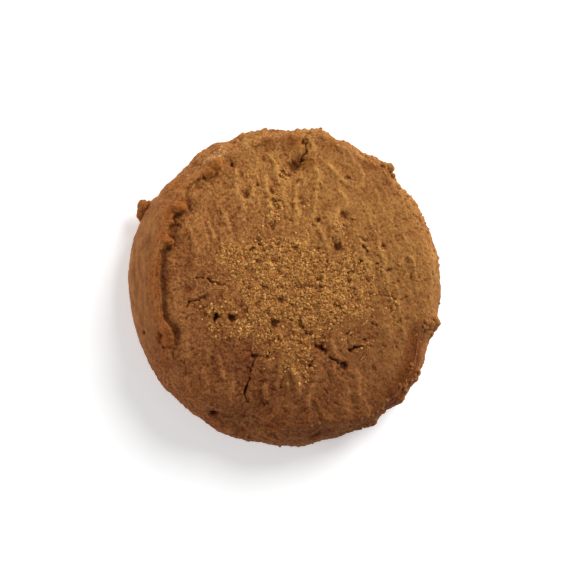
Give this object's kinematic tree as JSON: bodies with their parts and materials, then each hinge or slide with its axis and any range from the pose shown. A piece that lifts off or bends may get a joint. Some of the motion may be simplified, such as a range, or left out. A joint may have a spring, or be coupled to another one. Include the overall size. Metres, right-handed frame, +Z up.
{
  "type": "cocoa cookie",
  "caption": "Round domed cocoa cookie with a leaning wall, a rough cracked top and a raised lip along one side of the rim.",
  "frame": {"origin": "middle of the flat base, under the middle of the cookie's bounding box", "axes": "+Z up out of the domed top; +X to the right and +Y away from a viewer who has the raised lip on the left"},
  "size_m": [0.0516, 0.052, 0.0134],
  "materials": {
    "baked_dough": "matt, crumbly"
  },
  "bodies": {
    "root": {"cookie": "baked_dough"}
  },
  "joints": []
}
